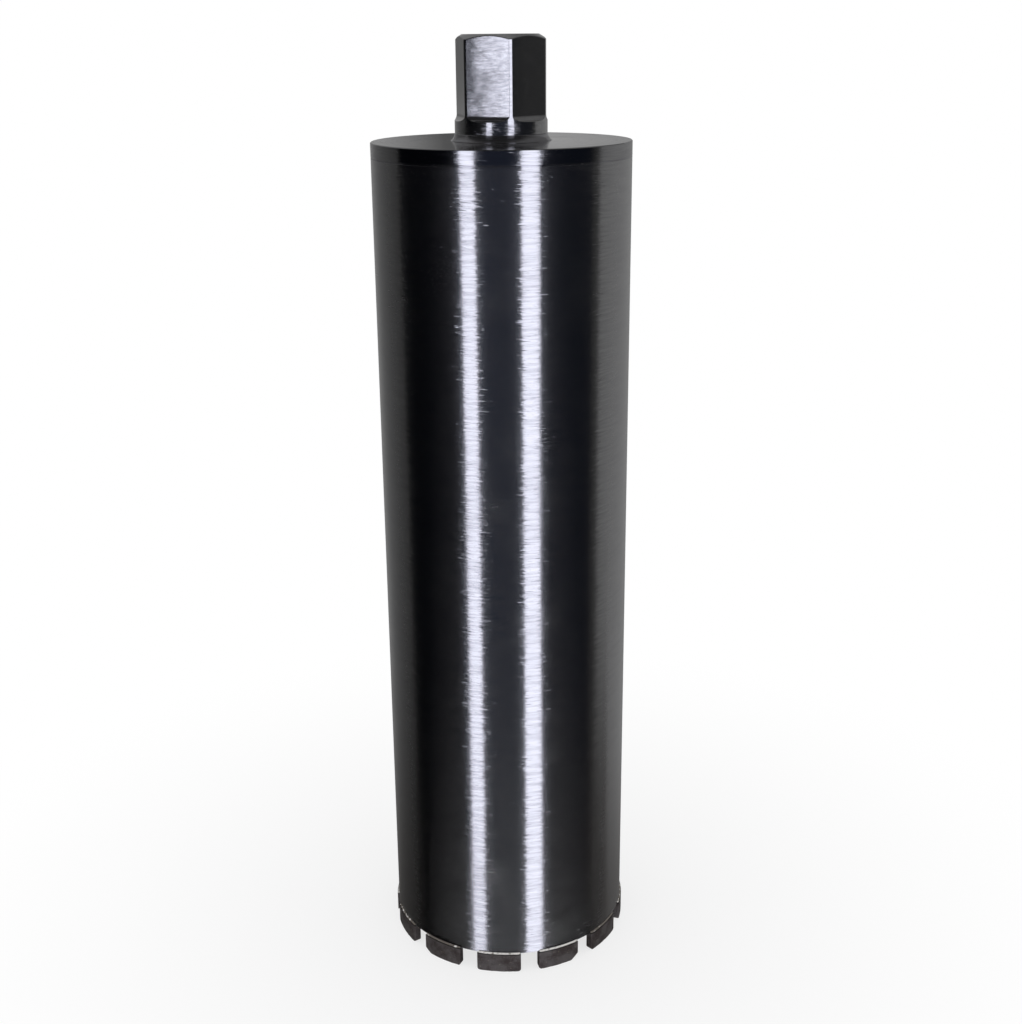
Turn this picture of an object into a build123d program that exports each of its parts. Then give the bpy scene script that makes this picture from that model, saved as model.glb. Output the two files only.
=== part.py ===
"""A wet diamond core bit: a thin steel barrel closed by a welded end plate, a hexagonal
threaded hub on top, and a crown of diamond segments brazed round the barrel's rim.

Frame: millimetres, +Z up along the axis of rotation. The origin is on that axis, in the
plane of the segments' cutting faces, on which the bit stands. Two of the hub's spanner
flats face +Y and -Y.
"""

import os
from math import degrees, radians, tan

from build123d import *

# Barrel: a thin tube that follows the cut and holds the core.
barrel_diameter = 130.0
barrel_wall = 2.0
body_length = 440.0  # from the cutting faces to the end plate's top face

# End plate: its rim caps the barrel and its step locates inside it.
rim_thickness = 7.0
rim_chamfer = 0.4
step_depth = 3.0
step_clearance = 0.05  # on radius, step to barrel
step_lead = 0.6  # chamfer that leads the step into the barrel

# Rim weld: the narrow ring that joins barrel and plate, turned flush.
rim_weld_width = 0.8
rim_weld_groove = 0.12  # how far the weld line lies under the turned surface

# Hub: round bar, milled to a hexagon, with a spigot through the plate.
hub_diameter = 46.0
hub_height = 50.0  # above the plate
across_flats = 40.6  # for a 41 mm spanner
flat_count = 6
ledge_height = 9.6  # round neck left under the flats
runout_radius = 3.0  # cutter radius where each flat ends
nose_chamfer_height = 2.4
nose_chamfer_angle = 30.0  # degrees from the nose face
spigot_diameter = 38.0
spigot_projection = 2.0  # below the plate's step
spigot_clearance = 0.05  # on radius, spigot to plate

# Female thread, 1 1/4 inch, 7 threads to the inch: the core hole before threading.
thread_core_diameter = 28.2
thread_mouth_diameter = 32.6
thread_exit_chamfer = 1.0

# Welds between hub and plate.
outer_weld_rise = 3.6  # up the neck
outer_weld_width = 2.2  # out over the plate
outer_weld_radius = 6.0  # of its hollow, turned face
inner_weld_leg = 2.0  # a plain mitre bead

# Diamond segments: curved sintered blocks, thicker than the barrel wall.
segment_count = 12
segment_length = 24.5  # round the outside
segment_thickness = 4.0
segment_height = 11.0
segment_relief = 1.0  # how far a segment stands outside the barrel
segment_phase = 12.5  # degrees from +X to the first segment's middle
end_corner_radius = 1.6  # lower corners at both ends

# Braze: silver solder between barrel and segment, drawn out into a fillet on each side.
braze_gap = 0.15
braze_rise = 1.2  # height of the fillets up the barrel
braze_toe = 0.1  # bare edge of the segment left beside each fillet
braze_fillet_radius = 2.4
braze_end_margin = 0.3  # bare length at each end of a segment

# Levels and radii that follow from the sizes above.
barrel_radius = barrel_diameter / 2
bore_radius = barrel_radius - barrel_wall
barrel_bottom = segment_height + braze_gap
plate_top = body_length
rim_bottom = plate_top - rim_thickness
barrel_top = rim_bottom - rim_weld_width
step_bottom = barrel_top - step_depth
step_radius = bore_radius - step_clearance

hub_radius = hub_diameter / 2
hub_top = plate_top + hub_height
ledge_level = plate_top + ledge_height
spigot_radius = spigot_diameter / 2
spigot_bottom = step_bottom - spigot_projection
thread_core_radius = thread_core_diameter / 2
thread_mouth_radius = thread_mouth_diameter / 2
thread_mouth_depth = thread_mouth_radius - thread_core_radius
nose_radius = hub_radius - nose_chamfer_height / tan(radians(nose_chamfer_angle))

segment_outer_radius = barrel_radius + segment_relief
segment_inner_radius = segment_outer_radius - segment_thickness
segment_half_angle = degrees(segment_length / segment_outer_radius) / 2
segment_pitch = 360 / segment_count
braze_half_angle = segment_half_angle - degrees(braze_end_margin / segment_outer_radius)
braze_top = barrel_bottom + braze_rise

os.makedirs("parts", exist_ok=True)


def write(part, name):
    """Label a finished piece and write it to its own file."""
    part.label = name
    export_step(part, f"parts/{name}.step")


# ---------------------------------------------------------------- barrel
with BuildPart() as barrel:
    with BuildSketch(Plane.XY.offset(barrel_bottom)):
        Circle(barrel_radius)
        Circle(bore_radius, mode=Mode.SUBTRACT)
    extrude(amount=barrel_top - barrel_bottom)

write(barrel.part, "barrel")

# ---------------------------------------------------------------- end plate
with BuildPart() as end_plate:
    with BuildSketch(Plane.XY.offset(step_bottom)):
        Circle(step_radius)
    extrude(amount=rim_bottom - step_bottom)
    chamfer(end_plate.edges().sort_by(Axis.Z)[0], step_lead)
    with BuildSketch(Plane.XY.offset(rim_bottom)):
        Circle(barrel_radius)
    extrude(amount=rim_thickness)
    chamfer(end_plate.edges().sort_by(Axis.Z)[-1], rim_chamfer)
    with BuildSketch(Plane.XY.offset(step_bottom)):
        Circle(spigot_radius + spigot_clearance)
    extrude(amount=plate_top - step_bottom, mode=Mode.SUBTRACT)

write(end_plate.part, "end_plate")

# ---------------------------------------------------------------- rim weld
with BuildPart() as rim_weld:
    with BuildSketch(Plane.XY.offset(barrel_top)):
        Circle(barrel_radius - rim_weld_groove)
        Circle(step_radius, mode=Mode.SUBTRACT)
    extrude(amount=rim_weld_width)

write(rim_weld.part, "rim_weld")

# ---------------------------------------------------------------- hub
# One pass of the milling cutter that makes a spanner flat, ending in the cutter's corner.
with BuildPart() as flat_cut:
    with BuildSketch(Plane.YZ):
        with BuildLine():
            flat_distance = across_flats / 2
            cutter_reach = hub_radius + runout_radius
            flat_end = (flat_distance, ledge_level + runout_radius)
            foot = (flat_distance + runout_radius, ledge_level)
            RadiusArc(flat_end, foot, -runout_radius)
            Polyline(
                foot,
                (cutter_reach, ledge_level),
                (cutter_reach, hub_top),
                (flat_distance, hub_top),
                flat_end,
            )
        make_face()
    extrude(amount=hub_radius, both=True)

with BuildPart() as hub:
    # Turned blank: nose chamfer, neck, spigot and core hole in one profile.
    with BuildSketch(Plane.XZ):
        with BuildLine():
            Polyline(
                (thread_core_radius + thread_exit_chamfer, spigot_bottom),
                (spigot_radius, spigot_bottom),
                (spigot_radius, plate_top),
                (hub_radius, plate_top),
                (hub_radius, hub_top - nose_chamfer_height),
                (nose_radius, hub_top),
                (thread_mouth_radius, hub_top),
                (thread_core_radius, hub_top - thread_mouth_depth),
                (thread_core_radius, spigot_bottom + thread_exit_chamfer),
                close=True,
            )
        make_face()
    revolve(axis=Axis.Z)
    with PolarLocations(0, flat_count):
        add(flat_cut.part, mode=Mode.SUBTRACT)

write(hub.part, "hub")

# ---------------------------------------------------------------- hub welds
with BuildPart() as hub_weld_outer:
    with BuildSketch(Plane.XZ):
        with BuildLine():
            toe = (hub_radius + outer_weld_width, plate_top)
            head = (hub_radius, plate_top + outer_weld_rise)
            Polyline(head, (hub_radius, plate_top), toe)
            RadiusArc(toe, head, outer_weld_radius)
        make_face()
    revolve(axis=Axis.Z)

write(hub_weld_outer.part, "hub_weld_outer")

with BuildPart() as hub_weld_inner:
    with BuildSketch(Plane.XZ):
        with BuildLine():
            toe = (spigot_radius + inner_weld_leg, step_bottom)
            head = (spigot_radius, spigot_bottom)
            Polyline(head, (spigot_radius, step_bottom), toe, close=True)
        make_face()
    revolve(axis=Axis.Z)

write(hub_weld_inner.part, "hub_weld_inner")

# ---------------------------------------------------------------- segments
with BuildPart() as segment:
    with BuildSketch():
        with BuildLine():
            outside = CenterArc(
                (0, 0), segment_outer_radius, -segment_half_angle, 2 * segment_half_angle
            )
            inside = CenterArc(
                (0, 0), segment_inner_radius, -segment_half_angle, 2 * segment_half_angle
            )
            Line(outside @ 0, inside @ 0)
            Line(outside @ 1, inside @ 1)
        make_face()
    extrude(amount=segment_height)
    cutting_face = segment.faces().sort_by(Axis.Z)[0]
    fillet(cutting_face.edges().filter_by(GeomType.LINE), end_corner_radius)

for number in range(segment_count):
    turn = segment_phase + number * segment_pitch
    write(segment.part.rotate(Axis.Z, turn), f"segment_{number + 1:02d}")

# ---------------------------------------------------------------- braze
with BuildPart() as braze:
    with BuildSketch(Plane.XZ):
        with BuildLine():
            outer_toe = (segment_outer_radius - braze_toe, segment_height)
            inner_toe = (segment_inner_radius + braze_toe, segment_height)
            outer_head = (barrel_radius, braze_top)
            inner_head = (bore_radius, braze_top)
            Line(inner_toe, outer_toe)
            RadiusArc(outer_toe, outer_head, braze_fillet_radius)
            Polyline(
                outer_head,
                (barrel_radius, barrel_bottom),
                (bore_radius, barrel_bottom),
                inner_head,
            )
            RadiusArc(inner_head, inner_toe, braze_fillet_radius)
        make_face()
    revolve(axis=Axis.Z, revolution_arc=2 * braze_half_angle)

for number in range(segment_count):
    turn = segment_phase + number * segment_pitch - braze_half_angle
    write(braze.part.rotate(Axis.Z, turn), f"braze_{number + 1:02d}")
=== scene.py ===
"""The looks of a wet diamond core bit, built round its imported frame.

The bit stands on its crown at the frame's origin with its hub up. Lengths in the classes below are
millimetres, as on a drawing; meshes are written in metres. Each sub-assembly is a class that shapes its
own pieces and dresses them in a finish, and every piece rides on the bit's one rigid body.
"""

import logging
import math
from dataclasses import dataclass, field
from enum import Enum
from functools import lru_cache
from typing import Callable, Sequence, Union

import bmesh
import bpy
import numpy as np
from mathutils import Matrix, Vector, noise


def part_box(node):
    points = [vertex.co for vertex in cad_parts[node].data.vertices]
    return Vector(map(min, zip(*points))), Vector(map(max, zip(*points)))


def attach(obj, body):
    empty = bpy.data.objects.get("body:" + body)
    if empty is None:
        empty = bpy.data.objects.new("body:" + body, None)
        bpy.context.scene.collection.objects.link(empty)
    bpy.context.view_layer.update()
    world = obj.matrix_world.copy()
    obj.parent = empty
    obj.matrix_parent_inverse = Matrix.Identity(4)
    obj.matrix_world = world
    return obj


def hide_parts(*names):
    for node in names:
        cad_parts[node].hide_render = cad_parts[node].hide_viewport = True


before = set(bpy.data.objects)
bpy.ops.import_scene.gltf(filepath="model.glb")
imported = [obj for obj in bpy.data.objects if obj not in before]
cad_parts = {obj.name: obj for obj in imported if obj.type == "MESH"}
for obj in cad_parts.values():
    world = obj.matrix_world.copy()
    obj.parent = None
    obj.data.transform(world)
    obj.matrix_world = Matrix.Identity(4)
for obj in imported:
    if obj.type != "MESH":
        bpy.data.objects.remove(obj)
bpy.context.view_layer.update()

log = logging.getLogger("core_bit")

MM = 0.001
BODY = "root"
WHITE = (1.0, 1.0, 1.0)
QUARTER_TURN = 0.25

Colour = tuple[float, float, float]
Faces = list[tuple[int, ...]]
Rings = list[tuple[np.ndarray, np.ndarray]]
Shaping = Callable[[float, np.ndarray], np.ndarray]
Socket = bpy.types.NodeSocket
Value = Union[float, Sequence[float], Socket]


# ------------------------------------------------------------------------------------ sizes


@dataclass(frozen=True)
class BitSizes:
    """The bit's own dimensions in millimetres, shared by all its sub-assemblies."""

    barrel_wall: float = 2.0
    step_clearance: float = 0.05
    step_lead: float = 0.6
    rim_chamfer: float = 0.4
    plate_bore_radius: float = 19.05
    flat_count: int = 6
    flat_distance: float = 20.3
    ledge_height: float = 9.6
    runout_radius: float = 3.0
    nose_chamfer: float = 2.4
    nose_angle: float = math.radians(30.0)
    spigot_radius: float = 19.0
    thread_core_radius: float = 14.1
    thread_root_radius: float = 15.875
    thread_pitch: float = 25.4 / 7
    thread_mouth_radius: float = 16.3
    thread_exit_chamfer: float = 1.0
    outer_weld_radius: float = 6.0
    inner_weld_leg: float = 2.0
    segment_count: int = 12
    segment_length: float = 24.5
    segment_relief: float = 1.0
    segment_thickness: float = 4.0
    segment_phase: float = 12.5
    end_corner_radius: float = 1.6
    braze_rise: float = 1.2
    braze_end_margin: float = 0.3
    barrel_radius: float = field(default_factory=lambda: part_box("barrel")[1].x / MM)
    hub_radius: float = field(default_factory=lambda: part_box("hub")[1].x / MM)
    barrel_bottom: float = field(default_factory=lambda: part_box("barrel")[0].z / MM)
    barrel_top: float = field(default_factory=lambda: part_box("barrel")[1].z / MM)
    rim_bottom: float = field(default_factory=lambda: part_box("rim_weld")[1].z / MM)
    plate_top: float = field(default_factory=lambda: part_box("end_plate")[1].z / MM)
    step_bottom: float = field(default_factory=lambda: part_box("end_plate")[0].z / MM)
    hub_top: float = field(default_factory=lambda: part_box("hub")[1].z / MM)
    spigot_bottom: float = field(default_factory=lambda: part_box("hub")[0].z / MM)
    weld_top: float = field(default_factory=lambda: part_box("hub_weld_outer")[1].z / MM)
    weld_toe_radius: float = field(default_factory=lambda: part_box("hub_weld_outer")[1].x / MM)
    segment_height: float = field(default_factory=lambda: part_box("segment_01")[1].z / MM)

    @property
    def bore_radius(self) -> float:
        """Radius of the barrel's inside."""
        return self.barrel_radius - self.barrel_wall

    @property
    def step_radius(self) -> float:
        """Radius of the end plate's step."""
        return self.bore_radius - self.step_clearance

    @property
    def segment_outer_radius(self) -> float:
        """Radius that the segments cut."""
        return self.barrel_radius + self.segment_relief

    @property
    def segment_inner_radius(self) -> float:
        """Radius of the segments' inner faces."""
        return self.segment_outer_radius - self.segment_thickness

    @property
    def segment_half_angle(self) -> float:
        """Half the angle that a segment spans, in radians."""
        return self.segment_length / self.segment_outer_radius / 2

    def segment_angle(self, number: int) -> float:
        """Angle of a segment's middle from +X.

        Args:
            number: The segment's number, from 1.

        Returns:
            The angle in radians.
        """
        return math.radians(self.segment_phase + (number - 1) * 360 / self.segment_count)


# ------------------------------------------------------------------------------------ node trees


class NodeTree:
    """The nodes of a material or the world, added one at a time with values or sockets as inputs."""

    def __init__(self, owner: bpy.types.Material | bpy.types.World) -> None:
        """Start with no nodes.

        Args:
            owner: The material or world that the nodes belong to.
        """
        self.owner = owner
        owner.use_nodes = True
        self.nodes = owner.node_tree.nodes
        self.links = owner.node_tree.links
        self.nodes.clear()

    def add(self, kind: str, inputs: dict[str | int, Value] | None = None,
            **settings: object) -> bpy.types.Node:
        """Add a node.

        Args:
            kind: The node's Blender type.
            inputs: Values or sockets by input name or number.
            settings: Attributes to set on the node itself.

        Returns:
            The new node.
        """
        node = self.nodes.new(kind)
        for name, value in settings.items():
            setattr(node, name, value)
        for name, value in (inputs or {}).items():
            self.feed(node.inputs[name], value)
        return node

    def feed(self, target: Socket, value: Value) -> None:
        """Give an input a constant, or link a socket to it.

        Args:
            target: The input socket.
            value: A constant or an output socket. A colour has three parts and is made opaque.
        """
        if isinstance(value, Socket):
            self.links.new(value, target)
        elif target.type == "RGBA":
            target.default_value = (*value, 1.0)
        else:
            target.default_value = value

    def math(self, operation: str, *values: Value) -> Socket:
        """Add a Math node.

        Args:
            operation: Blender's name of the operation.
            values: Up to three operands.

        Returns:
            The node's result.
        """
        return self.add("ShaderNodeMath", dict(enumerate(values)), operation=operation).outputs[0]

    def span(self, value: Value, low: float, high: float, to_low: float, to_high: float) -> Socket:
        """Map a value smoothly from one span to another, clamped at both ends.

        Args:
            value: What is mapped.
            low: Where the span starts.
            high: Where the span ends.
            to_low: Result at and below low.
            to_high: Result at and above high.

        Returns:
            The mapped value.
        """
        inputs = {"Value": value, "From Min": low, "From Max": high, "To Min": to_low, "To Max": to_high}
        return self.add("ShaderNodeMapRange", inputs, interpolation_type="SMOOTHSTEP").outputs[0]

    def blend(self, factor: Value, first: Value, second: Value) -> Socket:
        """Mix two colours.

        Args:
            factor: Share of the second colour.
            first: First colour.
            second: Second colour.

        Returns:
            The mixed colour.
        """
        node = self.add("ShaderNodeMix", data_type="RGBA")
        self.feed(node.inputs[0], factor)
        self.feed(node.inputs[6], first)
        self.feed(node.inputs[7], second)
        return node.outputs[2]

    def noise(self, vector: Value, scale: float, detail: float, roughness: float) -> Socket:
        """Add a noise texture.

        Args:
            vector: Coordinates.
            scale: Features to a metre of the coordinates.
            detail: Octaves.
            roughness: Weight of the finer octaves.

        Returns:
            The noise value, about 0.5.
        """
        inputs = {"Vector": vector, "Scale": scale, "Detail": detail, "Roughness": roughness}
        return self.add("ShaderNodeTexNoise", inputs).outputs[0]

    def cells(self, vector: Value, scale: float) -> Socket:
        """Distance to the nearest of points that are scattered at the scale."""
        return self.add("ShaderNodeTexVoronoi", {"Vector": vector, "Scale": scale}).outputs["Distance"]

    def position(self) -> Socket:
        """Coordinates in the piece's own space, in metres."""
        return self.add("ShaderNodeTexCoord").outputs["Object"]

    def parts(self) -> Sequence[Socket]:
        """X, Y and Z of a place on the piece, in metres."""
        return self.add("ShaderNodeSeparateXYZ", {0: self.position()}).outputs

    def round_axis(self) -> Socket:
        """Direction round the bit's axis, along the surface."""
        return self.add("ShaderNodeTangent", direction_type="RADIAL", axis="Z").outputs[0]

    def radius(self, parts: Sequence[Socket]) -> Socket:
        """Distance from the axis.

        Args:
            parts: X and Y of a place.

        Returns:
            The distance in metres.
        """
        square = self.math("MULTIPLY", parts[1], parts[1])
        return self.math("SQRT", self.math("MULTIPLY_ADD", parts[0], parts[0], square))

    def bump(self, height: Value, distance: float, strength: float, normal: Value | None = None) -> Socket:
        """Add a bump.

        Args:
            height: Height map from 0 to 1.
            distance: Height in metres that 1 stands for.
            strength: Share of it that shows.
            normal: Normal from an earlier bump.

        Returns:
            The bumped normal.
        """
        inputs: dict[str | int, Value] = {"Height": height, "Distance": distance, "Strength": strength}
        if normal is not None:
            inputs["Normal"] = normal
        return self.add("ShaderNodeBump", inputs).outputs[0]

    def finish(self, shader: bpy.types.Node, kind: str = "Material") -> bpy.types.ID:
        """Connect the shader to the output.

        Args:
            shader: The last shader node.
            kind: What the nodes belong to, as Blender's output nodes name it.

        Returns:
            The finished material or world.
        """
        output = self.add(f"ShaderNodeOutput{kind}")
        self.links.new(shader.outputs[0], output.inputs[0])
        return self.owner


# ------------------------------------------------------------------------------------ finishes


class Grain(Enum):
    """Which surfaces a lathe's or grinder's marks run round."""

    WALL = "rows up a wall"
    FACE = "rings out over an end face"


@dataclass(frozen=True)
class CutSteel:
    """Bare steel that was ground, turned or milled, with its marks drawn out along the cut."""

    name: str
    slot: str
    grain: Grain = Grain.WALL
    colour: Colour = (0.62, 0.62, 0.63)
    dark: Colour = (0.55, 0.55, 0.565)
    roughness: float = 0.19
    roughness_swing: float = 0.03  # either way, from mark to mark
    scratch_roughness: float = 0.09
    anisotropy: float = 1.0
    mark_length: float = 0.020  # metres along the cut
    mark_pitch: float = 0.0011  # metres across it
    slant: float = 0.10  # rise of the crossing scratches
    waver: float = 0.03  # sideways lean of the surface along the marks
    cloud_scale: float = 26.0
    cloud_roughness: float = 0.05
    sway: float = 0.0  # lean of the surface in slow swells
    swell_scale: float = 150.0
    mottle: float = 0.0
    mottle_scale: float = 240.0
    worn_below: float = -1.0  # level under which the scratches are deeper
    wear_fade: float = 0.25
    wear_gain: float = 1.2
    fray: float = 0.0  # lean of the short marks that fray a reflection's edges
    fray_top: float = 10.0  # level above which nothing frays
    fray_fade: float = 0.0006
    fray_pitch: float = 0.3
    fray_length: float = 0.007
    oil: float = 0.0  # weight of the film of oil
    oil_index: float = 2.0
    oil_roughness: float = 0.30

    def material(self) -> bpy.types.Material:
        """Build the node material.

        Returns:
            The material.
        """
        tree = NodeTree(bpy.data.materials.new(self.name))
        parts = tree.parts()
        level = parts[2]
        if self.grain is Grain.FACE:
            level = tree.math("ADD", level, tree.radius(parts))
        fine = self.marks(tree, parts, level, slant=0.0, pitch=1.0, detail=4.0)
        rising = self.marks(tree, parts, level, slant=self.slant, pitch=0.85, detail=2.0)
        falling = self.marks(tree, parts, level, slant=-self.slant * 0.8, pitch=0.75, detail=2.0)
        cloud = tree.noise(tree.position(), self.cloud_scale, 4.0, 0.55)
        wear = tree.span(parts[2], self.worn_below - self.wear_fade, self.worn_below, self.wear_gain, 1.0)
        deepest = tree.span(tree.math("MAXIMUM", rising, falling), 0.60, 0.70, 0.0, 1.0)
        scratch = tree.math("MULTIPLY", deepest, wear)
        colour = tree.blend(tree.span(fine, 0.36, 0.62, 0.0, 1.0), self.dark, self.colour)
        colour = tree.blend(tree.span(cloud, 0.50, 0.74, 0.0, 0.4), colour, self.dark)
        if self.mottle:
            blotch = tree.noise(tree.position(), self.mottle_scale, 4.0, 0.62)
            colour = tree.blend(tree.span(blotch, 0.45, 0.62, 0.0, self.mottle), colour, self.dark)
        rough = tree.span(fine, 0.30, 0.70, self.roughness + self.roughness_swing,
                          self.roughness - self.roughness_swing)
        rough = tree.math("MULTIPLY_ADD", scratch, self.scratch_roughness, rough)
        rough = tree.math("ADD", rough, tree.span(cloud, 0.52, 0.72, 0.0, self.cloud_roughness))
        shader = tree.add("ShaderNodeBsdfPrincipled", {
            "Base Color": colour,
            "Metallic": 1.0,
            "Roughness": rough,
            "Anisotropic": self.anisotropy,
            "Anisotropic Rotation": QUARTER_TURN,
            "Coat Weight": self.oil,
            "Coat Roughness": self.oil_roughness,
            "Coat IOR": self.oil_index,
            "Normal": self.leaning(tree, parts, level, tree.math("MULTIPLY", rising, wear)),
            "Tangent": tree.round_axis(),
        })
        return tree.finish(shader)

    def marks(self, tree: NodeTree, parts: Sequence[Socket], level: Socket, slant: float, pitch: float,
              detail: float, length: float | None = None) -> Socket:
        """Noise drawn out along the cut.

        Args:
            tree: The material's nodes.
            parts: X, Y and Z of a place.
            level: Distance across the marks.
            slant: How steeply the marks climb.
            pitch: Spacing as a share of this finish's own.
            detail: Octaves.
            length: Length of a mark in metres, if not this finish's own.

        Returns:
            The noise value, about 0.5.
        """
        across = tree.math("MULTIPLY_ADD", parts[0], slant, level)
        along = 1 / (length or self.mark_length)
        inputs = {
            0: tree.math("MULTIPLY", parts[0], along),
            1: tree.math("MULTIPLY", parts[1], along),
            2: tree.math("MULTIPLY", across, 1 / (self.mark_pitch * pitch)),
        }
        return tree.noise(tree.add("ShaderNodeCombineXYZ", inputs).outputs[0], 1.0, detail, 0.6)

    def leaning(self, tree: NodeTree, parts: Sequence[Socket], level: Socket, marks: Socket) -> Socket:
        """Lean the surface a little to either side, which frays and bends the edges of reflections.

        Args:
            tree: The material's nodes.
            parts: X, Y and Z of a place.
            level: Distance across the marks.
            marks: Noise drawn out along the marks.

        Returns:
            The leaning normal.
        """
        lean = tree.math("MULTIPLY", tree.math("SUBTRACT", marks, 0.5), self.waver)
        if self.sway:
            swell = tree.noise(tree.position(), self.swell_scale, 3.0, 0.55)
            lean = tree.math("MULTIPLY_ADD", tree.math("SUBTRACT", swell, 0.5), self.sway, lean)
        if self.fray:
            short = self.marks(tree, parts, level, self.slant * 0.4, self.fray_pitch, 2.0, self.fray_length)
            off = tree.math("SUBTRACT", short, 0.5)
            cube = tree.math("MULTIPLY", tree.math("MULTIPLY", off, off), off)
            share = tree.span(parts[2], self.fray_top - self.fray_fade, self.fray_top, self.fray, 0.0)
            lean = tree.math("MULTIPLY_ADD", cube, share, lean)
        side = {0: tree.round_axis(), 3: lean}
        offset = tree.add("ShaderNodeVectorMath", side, operation="SCALE").outputs[0]
        normal = tree.add("ShaderNodeNewGeometry").outputs["Normal"]
        total = tree.add("ShaderNodeVectorMath", {0: normal, 1: offset}, operation="ADD").outputs[0]
        return tree.add("ShaderNodeVectorMath", {0: total}, operation="NORMALIZE").outputs[0]


@dataclass(frozen=True)
class SinteredMetal:
    """Pressed and sintered metal powder that holds the diamond grit: dull, brown-grey and pitted."""

    name: str = "sintered_segment"
    slot: str = "sintered_metal"
    colour: Colour = (0.140, 0.127, 0.126)
    stain: Colour = (0.070, 0.055, 0.054)
    pale: Colour = (0.20, 0.185, 0.175)
    grit: Colour = (0.34, 0.30, 0.22)
    # near-black colour of the painted shade along the block's top edge, under the solder
    flux_and_shade: Colour = (0.006, 0.005, 0.005)
    shade_low: float = 0.01050  # the painted shade along the top edge begins here, in metres up
    shade_high: float = 0.01080
    patch_scale: float = 95.0
    grain_scale: float = 1500.0
    pit_scale: float = 900.0
    grit_scale: float = 420.0
    metallic: float = 0.55

    def material(self) -> bpy.types.Material:
        """Build the node material.

        Returns:
            The material.
        """
        tree = NodeTree(bpy.data.materials.new(self.name))
        where = tree.position()
        patches = tree.noise(where, self.patch_scale, 4.0, 0.6)
        grains = tree.noise(where, self.grain_scale, 2.0, 0.6)
        pits = tree.cells(where, self.pit_scale)
        stones = tree.cells(where, self.grit_scale)
        colour = tree.blend(tree.span(patches, 0.40, 0.64, 0.0, 1.0), self.colour, self.stain)
        colour = tree.blend(tree.span(grains, 0.55, 0.72, 0.0, 0.45), colour, self.pale)
        colour = tree.blend(tree.span(stones, 0.10, 0.16, 0.55, 0.0), colour, self.grit)
        # painted shade: the block's top edge, in the crease under the solder, is darkened nearly to black
        top_edge_shade = tree.span(tree.parts()[2], self.shade_low, self.shade_high, 0.0, 0.9)
        colour = tree.blend(top_edge_shade, colour, self.flux_and_shade)
        height = tree.math("MULTIPLY_ADD", grains, 0.6, tree.span(pits, 0.08, 0.30, 0.0, 0.5))
        normal = tree.bump(height, 0.00012, 0.55)
        normal = tree.bump(patches, 0.0006, 0.35, normal)
        shader = tree.add("ShaderNodeBsdfPrincipled", {
            "Base Color": colour,
            "Metallic": self.metallic,
            "Roughness": tree.span(grains, 0.40, 0.65, 0.62, 0.42),
            "Normal": normal,
        })
        return tree.finish(shader)


@dataclass(frozen=True)
class SilverSolder:
    """Silver solder that has run and set: bright and lumpy, with a little flux left in its hollows, and
    near-black painted shade along its toe and crest.
    """

    name: str = "run_silver_solder"
    slot: str = "silver_solder"
    colour: Colour = (0.86, 0.84, 0.80)
    flux_and_shade: Colour = (0.16, 0.14, 0.12)
    crease_shade: Colour = (0.008, 0.007, 0.007)
    metallic: float = 0.25
    side_shade: float = 0.0  # how much further the flux colour covers the lumps, as painted shade on brazes round the bit's sides
    lump_scale: float = 420.0
    fleck_scale: float = 1400.0
    toe_level: float = 0.01104  # painted shade below here, in metres up
    toe_fade: float = 0.00004
    crest_level: float = 0.01175  # and above here
    crest_fade: float = 0.0001

    def material(self) -> bpy.types.Material:
        """Build the node material.

        Returns:
            The material.
        """
        tree = NodeTree(bpy.data.materials.new(self.name))
        where = tree.position()
        lumps = tree.noise(where, self.lump_scale, 3.0, 0.55)
        flecks = tree.noise(where, self.fleck_scale, 2.0, 0.6)
        covered = tree.span(lumps, 0.34 + self.side_shade, 0.46 + self.side_shade, 0.8 + self.side_shade, 0.0)
        colour = tree.blend(covered, self.colour, self.flux_and_shade)
        level = tree.parts()[2]
        # painted shade: near-black bands at the bead's toe on the block and at its crest against the barrel
        toe = tree.span(level, self.toe_level - self.toe_fade, self.toe_level, 1.0, 0.0)
        crest = tree.span(level, self.crest_level, self.crest_level + self.crest_fade, 0.0, 1.0)
        colour = tree.blend(tree.math("MAXIMUM", toe, crest), colour, self.crease_shade)
        height = tree.math("MULTIPLY_ADD", flecks, 0.25, lumps)
        shader = tree.add("ShaderNodeBsdfPrincipled", {
            "Base Color": colour,
            "Metallic": self.metallic,
            "Roughness": tree.span(flecks, 0.35, 0.65, 0.42, 0.24),
            "Normal": tree.bump(height, 0.0004, 0.5),
        })
        return tree.finish(shader)


@dataclass(frozen=True)
class WeldMetal:
    """Weld metal left as it set: rippled, dull, tinted by its heat."""

    name: str = "weld_bead"
    slot: str = "weld_metal"
    colour: Colour = (0.40, 0.39, 0.40)
    tint: Colour = (0.20, 0.15, 0.12)
    cloud_scale: float = 140.0
    grain_scale: float = 1800.0

    def material(self) -> bpy.types.Material:
        """Build the node material.

        Returns:
            The material.
        """
        tree = NodeTree(bpy.data.materials.new(self.name))
        where = tree.position()
        cloud = tree.noise(where, self.cloud_scale, 3.0, 0.6)
        grains = tree.noise(where, self.grain_scale, 3.0, 0.6)
        shader = tree.add("ShaderNodeBsdfPrincipled", {
            "Base Color": tree.blend(tree.span(cloud, 0.42, 0.62, 0.0, 1.0), self.colour, self.tint),
            "Metallic": 1.0,
            "Roughness": tree.span(grains, 0.3, 0.7, 0.55, 0.35),
            "Normal": tree.bump(grains, 0.00008, 0.5),
        })
        return tree.finish(shader)


Finish = Union[CutSteel, SinteredMetal, SilverSolder, WeldMetal]

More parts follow.
